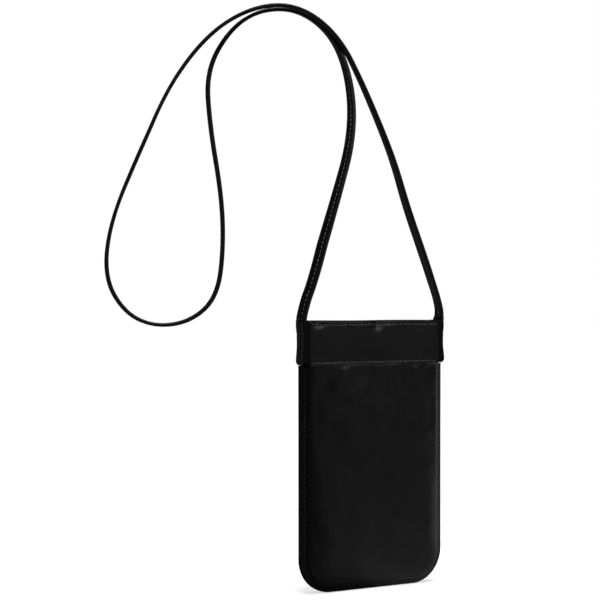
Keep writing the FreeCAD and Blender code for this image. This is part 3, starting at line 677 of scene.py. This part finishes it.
for side, word in ((1, "front"), (-1, "back")):
    rows = []
    for z, reach in ((HEM_Z, 48.6), (TOP_Z, 49.2)):
        n = int(2 * reach / PITCH)
        for i in range(n):
            x = -reach + (i + 0.5) * 2 * reach / n
            depth = float(outer_depth(x, z, BAND_X - abs(x), side))
            rows.append(((x, -side * (depth + (0.05 if z == HEM_Z else 0.02)), z), (1, 0, 0), (0, -side, 0)))
    verts, faces = stitches(rows, 0.26, 1.8, 0.22)
    thread = make(word + "_hem_stitching", verts, faces, [THREAD])
    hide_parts(word + "_hem_thread_left", word + "_hem_thread_right")
    bow(thread)

SEAM_X, SEAM_Z, SEAM_R = EDGE_X - 3.1, LOW + 3.1, CORNER - 3.1
legs = [("line", (-SEAM_X, -31.8), (-SEAM_X, SEAM_Z + SEAM_R)), ("arc", (-SEAM_X + SEAM_R, SEAM_Z + SEAM_R), (180, 270)),
        ("line", (-SEAM_X + SEAM_R, SEAM_Z), (SEAM_X - SEAM_R, SEAM_Z)),
        ("arc", (SEAM_X - SEAM_R, SEAM_Z + SEAM_R), (270, 360)), ("line", (SEAM_X, SEAM_Z + SEAM_R), (SEAM_X, -31.8))]
sizes = [math.dist(a, b) if kind == "line" else SEAM_R * math.pi / 2 for kind, a, b in legs]
total = sum(sizes)
n = int(total / PITCH)
rows = []
for i in range(n):
    s = (i + 0.5) * total / n
    for (kind, a, b), size in zip(legs, sizes):
        if s <= size:
            if kind == "line":
                u = s / size
                x, z = a[0] + (b[0] - a[0]) * u, a[1] + (b[1] - a[1]) * u
                t = (b[0] - a[0], 0, b[1] - a[1])
            else:
                q = math.radians(b[0] + (b[1] - b[0]) * s / size)
                x, z = a[0] + SEAM_R * math.cos(q), a[1] + SEAM_R * math.sin(q)
                t = (-math.sin(q), 0, math.cos(q))
            break
        s -= size
    away = np.array([t[2], 0.0, -t[0]], float)  # out of the body, in its own plane
    away *= np.sign(away[0] * x + away[2] * (z + 100.0)) / np.linalg.norm(away)
    for side in (1, -1):
        lean = away * 0.38 + np.array([0.0, -side * 0.92, 0.0])
        rows.append(((x, -side * 2.08, z), t, tuple(lean)))
verts, faces = stitches(rows, 0.25, 1.9, 0.20)
seam = make("seam_stitching", verts, faces, [SEAM_THREAD])
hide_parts("side_seam_thread")
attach(seam, "pouch")


# ---------------------------------------------------------------- linings
def lining(side):
    ins = np.array([8.9, 9.4, 10.5, 12.5, 15.0, 18.0, 23.0])
    zs = list(np.arange(-155.0, -30.0, 4.0)) + [-29.7]
    mid = np.linspace(-32, 32, 33)
    pts, tags, faces = [], {}, []

    def vid(x, z):
        kk = (round(float(x), 3) + 0.0, round(float(z), 3) + 0.0)
        if kk not in tags:
            tags[kk] = len(pts)
            pts.append(kk)
        return tags[kk]

    cols = [-(55.0 - d) for d in ins] + list(mid[1:-1]) + [55.0 - d for d in ins[::-1]]
    grid = [[vid(x, z) for x in cols] for z in zs]
    low = []
    for a in np.linspace(180, 270, 15):
        low.append([vid(-32 + (23 - d) * math.cos(math.radians(a)), -155 + (23 - d) * math.sin(math.radians(a))) for d in ins])
    for x in mid[1:-1]:
        low.append([vid(x, -178 + d) for d in ins])
    for a in np.linspace(270, 360, 15):
        low.append([vid(32 + (23 - d) * math.cos(math.radians(a)), -155 + (23 - d) * math.sin(math.radians(a))) for d in ins])
    for block in (grid, low):
        for r in range(len(block) - 1):
            for c in range(len(block[0]) - 1):
                f = [block[r][c], block[r][c + 1], block[r + 1][c + 1], block[r + 1][c]]
                g = [v for i, v in enumerate(f) if v != f[i - 1]]
                if len(g) >= 3:
                    faces.append(tuple(g if block is grid else g[::-1]))
    pts = np.array(pts)
    wob = 0.10 * np.sin(pts[:, 0] / 7.0 + side) * np.sin(pts[:, 1] / 11.0)
    skin = np.interp([body_inset(px, pz) for px, pz in pts], *BODY_INSIDE)
    skin = np.where(pts[:, 1] > -31.0, np.minimum(skin, 4.2), skin)
    near_y = skin - 0.50 + wob * 0.5
    far_y = skin - 0.14 + wob * 0.5
    a = np.stack([pts[:, 0], -side * near_y, pts[:, 1]], axis=1)
    b = np.stack([pts[:, 0], -side * far_y, pts[:, 1]], axis=1)
    n = len(a)
    edges = {}
    for f in faces:
        for p, q in zip(f, f[1:] + f[:1]):
            edges[(p, q)] = 1
    rim = [(p, q) for (p, q) in edges if (q, p) not in edges]
    return np.vstack([a, b]), faces + [tuple(reversed([i + n for i in f])) for f in faces] + \
        [(q, p, p + n, q + n) for p, q in rim]


for side, word in ((1, "front"), (-1, "back")):
    verts, faces = lining(side)
    piece = make(word + "_lining_cloth", verts, faces, [CLOTH])
    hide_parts(word + "_lining")
    bow(piece)


# ---------------------------------------------------------------- spring strips: each spans both pins
def ribbon(path, z_lo, z_hi, thick):
    """A closed strip of steel on edge: its centreline is drawn in plan."""
    path = np.asarray(path, float)
    t = np.gradient(path, axis=0)
    t /= np.linalg.norm(t, axis=1)[:, None]
    nrm = np.stack([-t[:, 1], t[:, 0]], axis=1)
    verts, faces = [], []
    for p, q in zip(path, nrm):
        for off, z in ((-1, z_lo), (1, z_lo), (1, z_hi), (-1, z_hi)):
            xy = p + q * off * thick / 2
            verts.append((xy[0], xy[1], z))
    for i in range(len(path) - 1):
        for j in range(4):
            faces.append((i * 4 + j, i * 4 + (j + 1) % 4, (i + 1) * 4 + (j + 1) % 4, (i + 1) * 4 + j))
    faces += [(0, 1, 2, 3), tuple((len(path) - 1) * 4 + k for k in (3, 2, 1, 0))]
    return np.array(verts), faces


for side, word in ((1, "front"), (-1, "back")):
    sets = []
    knee = [(hand * (48.8 - 1.3 * math.cos(math.radians(52))), -side * 1.3 * math.sin(math.radians(52))) for hand in (-1, 1)]
    flat = [(x, -side * 3.6) for x in np.linspace(-45.1, 45.1, 61)]
    main = [knee[0], ((knee[0][0] + flat[0][0]) / 2, (knee[0][1] + flat[0][1]) / 2)] + flat \
        + [((knee[1][0] + flat[-1][0]) / 2, (knee[1][1] + flat[-1][1]) / 2), knee[1]]
    sets.append(ribbon(main, -21.0, -8.0, 0.6))
    spans = ((-21.0, -17.0), (-12.0, -8.0)) if side > 0 else ((-16.8, -12.2),)
    for hand in (-1, 1):
        start = math.atan2(-side * math.sin(math.radians(52)), -hand * math.cos(math.radians(52)))
        turn = side * hand
        curl = [(hand * 48.8 + 1.3 * math.cos(start + turn * a), 1.3 * math.sin(start + turn * a))
                for a in np.linspace(0, math.radians(318), 22)]
        for lo_z, hi_z in spans:
            sets.append(ribbon(curl, lo_z, hi_z, 0.62))
    verts, faces = join_sets(sets)
    piece = make(word + "_spring_strip", verts, faces, [STEEL], shade=False)
    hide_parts(word + "_spring_left", word + "_spring_right")
    bow(piece)

for name in ("hinge_pin_left", "hinge_pin_right"):
    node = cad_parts[name]
    node.data.materials.clear()
    node.data.materials.append(PIN)


# ---------------------------------------------------------------- side gussets and the strap's sewn ends
def slab(lo, hi, ease):
    """A box with eased edges, drawn as rings round its long axis Z."""
    lo, hi = np.array(lo, float), np.array(hi, float)
    verts, faces = [], []
    prof = [(0, ease), (ease * 0.3, ease * 0.3), (ease, 0)]
    zs = [lo[2], lo[2] + ease * 0.3, lo[2] + ease] + list(np.linspace(lo[2] + ease, hi[2] - ease, 9))[1:-1] \
        + [hi[2] - ease, hi[2] - ease * 0.3, hi[2]]
    for i, z in enumerate(zs):
        pull = {0: ease, 1: ease * 0.3, len(zs) - 1: ease, len(zs) - 2: ease * 0.3}.get(i, 0.0)
        x0, x1, y0, y1 = lo[0] + pull, hi[0] - pull, lo[1] + pull, hi[1] - pull
        ring = [(x0 + a, y0 + b) for a, b in prof[::1]]
        ring += [(x1 - a, y0 + b) for a, b in prof[::-1]]
        ring += [(x1 - a, y1 - b) for a, b in prof]
        ring += [(x0 + a, y1 - b) for a, b in prof[::-1]]
        verts += [(x, y, z) for x, y in ring]
    n = 12
    for i in range(len(zs) - 1):
        for j in range(n):
            faces.append((i * n + j, i * n + (j + 1) % n, (i + 1) * n + (j + 1) % n, (i + 1) * n + j))
    faces += [tuple(range(n)), tuple((len(zs) - 1) * n + j for j in reversed(range(n)))]
    return np.array(verts), faces


for hand, where in ((-1, "left"), (1, "right")):
    lo = (-51.7, -5.5, -29.0) if hand < 0 else (50.7, -5.5, -29.0)
    hi = (-50.7, 5.5, 0.0) if hand < 0 else (51.7, 5.5, 0.0)
    verts, faces = slab(lo, hi, 0.25)
    piece = make("gusset_" + where, verts, faces, [EDGE])
    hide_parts("side_gusset_" + where)
    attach(piece, "pouch")

    zs = np.concatenate([np.linspace(0, -26.0, 34), [-26.4, -26.9, -27.4, -27.8, -28.2, -28.5, -28.75, -28.9, -29.0]])
    drop = np.clip(-26.4 - zs, 0, 2.6)
    width = (5.5 - (2.6 - np.sqrt(np.clip(2.6**2 - drop**2, 0, None)))) / 5.5
    swell = np.interp(-zs, [0, 3, 7, 13, 18, 23, 26, 28, 29], [0.9, 1.0, 0.55, 0.12, 0.15, 0.7, 0.95, 0.7, 0.3])
    if hand > 0:
        swell = swell + np.interp(-zs, [0, 3, 7, 18, 23, 28, 29], [0.0, 0.4, 0.4, 0.4, 0.75, 0.7, 0.5])
    swell[:34] = np.convolve(np.pad(swell[:34], 4, mode="edge"), ease, mode="valid")
    under = 0.9 * smooth((zs + 3.0) / 3.0)
    dip = -0.30 * np.exp(-(((zs + 8.8) / 0.7) ** 2))
    points = np.stack([np.full_like(zs, hand * TAB_X), np.zeros_like(zs), zs], axis=1)
    ws = np.tile([0.0, 1.0, 0.0], (len(zs), 1))
    outs = np.tile([float(hand), 0.0, 0.0], (len(zs), 1))
    verts, faces = sweep(points, ws, outs, width, swell + dip, under)
    piece = make("strap_tab_" + where, verts, faces, [STRAP, EDGE],
                 edge_marks(faces, (len(zs) - 1) * len(SECTION), len(SECTION)))
    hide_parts("strap_end_" + where)
    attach(piece, "pouch")

    rows = []
    for i in range(8):
        z = -4.5 - i * PITCH
        if abs(z + 8.8) < 1.2:
            continue
        bulge = float(np.interp(-z, -zs, swell + dip))
        rows.append(((hand * (TAB_X + 1.0 + bulge), SEW_W, z), (0, 0, 1), (hand, 0, 0)))
    for y in (-3.9, 0.7, 3.5):
        bulge = float(np.interp(8.8, -zs, swell + dip)) * (1 - (y / 6.5) ** 2)
        rows.append(((hand * (TAB_X + 1.28 + bulge), y, -8.8), (0, 1, 0), (hand, 0, 0)))
    verts, faces = stitches(rows, 0.24, 2.1, 0.16)
    piece = make("strap_tab_stitching_" + where, verts, faces, [THREAD])
    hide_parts("strap_end_thread_" + where)
    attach(piece, "pouch")


# ---------------------------------------------------------------- studio: white floor and background, soft lights
def studio_floor(name, size, z):
    """A white sweep of floor. It is self-lit further out, so that it meets the white background without a line. To
    every ray but the camera's it shows instead a dim glow in patches round the pouch: painted light, which the leather
    reflects and is lit by.
    """
    mesh = bpy.data.meshes.new(name)
    mesh.from_pydata([(-size, -size, z), (size, -size, z), (size, size, z), (-size, size, z)], [], [(0, 1, 2, 3)])
    m = Nodes(name)
    m.put(m.b, "Base Color", (0.86, 0.86, 0.86, 1))
    m.put(m.b, "Roughness", 0.9)
    m.put(m.b, "Specular IOR Level", 0.0)
    m.put(m.b, "Emission Color", (1, 1, 1, 1))
    far = m.add("ShaderNodeVectorMath", Vector=m.co)
    far.operation = "DISTANCE"
    far.inputs[1].default_value = (float(O[0]), float(O[1]), z)
    m.put(m.b, "Emission Strength", m.ramp(far.outputs["Value"], 0.05, 0.14, 0.60, 1.0))
    off = m.add("ShaderNodeVectorMath", Vector=m.co)
    off.operation = "SUBTRACT"
    off.inputs[1].default_value = (float(O[0]), float(O[1]), z)
    unit = m.add("ShaderNodeVectorMath", Vector=off.outputs[0])
    unit.operation = "NORMALIZE"
    ahead = m.add("ShaderNodeVectorMath", Vector=off.outputs[0])
    ahead.operation = "DOT_PRODUCT"
    ahead.inputs[1].default_value = (0.3, -0.95, 0.0)
    aside = m.add("ShaderNodeVectorMath", Vector=unit.outputs[0])
    aside.operation = "DOT_PRODUCT"
    aside.inputs[1].default_value = (1.0, 0.0, 0.0)
    # painted light: a glowing patch of floor to the right of the pouch, reflected as the highlight down its right rim
    glow = m.math("MULTIPLY", m.ramp(aside.outputs["Value"], 0.78, 0.97, 0.0, 0.34),
                  m.ramp(far.outputs["Value"], 0.09, 0.22, 0.0, 1.0))
    front = m.add("ShaderNodeVectorMath", Vector=unit.outputs[0])
    front.operation = "DOT_PRODUCT"
    front.inputs[1].default_value = (0.77, -0.64, 0.0)
    # painted light: a glowing patch of floor in front of and right of the pouch, reflected as the lighter lower right
    # of its face
    face = m.math("MULTIPLY", m.math("MULTIPLY", m.ramp(ahead.outputs["Value"], 0.0, 0.02, 0.0, 1.0),
                                     m.ramp(far.outputs["Value"], 0.16, 0.55, 0.19, 0.09)),
                  m.ramp(front.outputs["Value"], 0.52, 0.84, 0.12, 1.0))
    # painted light: a glow on the floor just in front of the pouch, reflected in its bottom edge
    close = m.math("MULTIPLY", m.ramp(ahead.outputs["Value"], -0.004, 0.008, 0.0, 1.0),
                   m.ramp(far.outputs["Value"], 0.05, 0.12, 0.065, 0.0))
    face = m.math("ADD", face, close)
    # painted light: a faint glow all round, a little stronger behind, and a brighter pool back to the left, reflected
    # in the pouch's back
    behind = m.add("ShaderNodeVectorMath", Vector=unit.outputs[0])
    behind.operation = "DOT_PRODUCT"
    behind.inputs[1].default_value = (-0.5, 0.87, 0.0)
    rear = m.ramp(behind.outputs["Value"], 0.2, 0.8, 0.03, 0.05)
    pool = m.math("MULTIPLY", m.ramp(behind.outputs["Value"], 0.55, 0.9, 0.0, 0.15),
                  m.ramp(far.outputs["Value"], 0.35, 0.75, 1.0, 0.0))
    rear = m.math("ADD", rear, pool)
    # the floor's painted glow, seen only by rays other than the camera's
    dim = m.add("ShaderNodeEmission", Strength=m.math("ADD", glow, m.math("ADD", face, rear)))
    choose = m.t.nodes.new("ShaderNodeMixShader")
    m.t.links.new(m.add("ShaderNodeLightPath").outputs["Is Camera Ray"], choose.inputs[0])
    m.t.links.new(dim.outputs[0], choose.inputs[1])
    m.t.links.new(m.b.outputs[0], choose.inputs[2])
    m.t.links.new(choose.outputs[0], m.t.nodes["Material Output"].inputs["Surface"])
    mesh.materials.append(m.mat)
    obj = bpy.data.objects.new(name, mesh)
    scene.collection.objects.link(obj)
    return obj


studio_floor("studio_floor", 6.0, FLOOR)

world = bpy.data.worlds.new("studio")
scene.world = world
world.use_nodes = True
wt = world.node_tree
wt.nodes.clear()
out = wt.nodes.new("ShaderNodeOutputWorld")
mixer = wt.nodes.new("ShaderNodeMixShader")
path_node = wt.nodes.new("ShaderNodeLightPath")
seen_bg = wt.nodes.new("ShaderNodeBackground")
seen_bg.inputs["Color"].default_value = (1, 1, 1, 1)
seen_bg.inputs["Strength"].default_value = 1.0
lit_bg = wt.nodes.new("ShaderNodeBackground")
lit_bg.inputs["Color"].default_value = (1, 1, 1, 1)
lit_bg.inputs["Strength"].default_value = 0.03
wt.links.new(path_node.outputs["Is Camera Ray"], mixer.inputs[0])
wt.links.new(lit_bg.outputs[0], mixer.inputs[1])
wt.links.new(seen_bg.outputs[0], mixer.inputs[2])
wt.links.new(mixer.outputs[0], out.inputs[0])


def softbox(name, at, towards, power, size, size_y=None):
    data = bpy.data.lights.new(name, "AREA")
    data.energy = power
    data.shape = "RECTANGLE"
    data.size, data.size_y = size, size_y or size
    obj = bpy.data.objects.new(name, data)
    scene.collection.objects.link(obj)
    obj.location = Vector(place(at))
    obj.visible_camera = False
    obj.rotation_mode = "QUATERNION"
    obj.rotation_quaternion = (Vector(place(towards)) - obj.location).to_track_quat("-Z", "Y")
    return obj


softbox("top_light", (90, -90, 1500), (0, 0, -60), 16.0, 0.5)
softbox("left_high", (-400, -640, 1050), (0, 0, 60), 5.0, 0.35)
softbox("front_soft", (900, -1500, -60), (0, 0, -90), 0.28, 0.7, 0.8)
softbox("rear_soft", (-900, 1500, -80), (0, 0, -120), 0.12, 0.7, 0.5)
softbox("upper_soft", (700, -1230, 650), (0, 0, 0), 1.0, 0.2)
softbox("right_light", (1300, 0, -70), (0, 0, -110), 0.32, 0.35, 0.9)
softbox("back_light", (1350, 950, 600), (0, 0, -40), 3.4, 0.9)
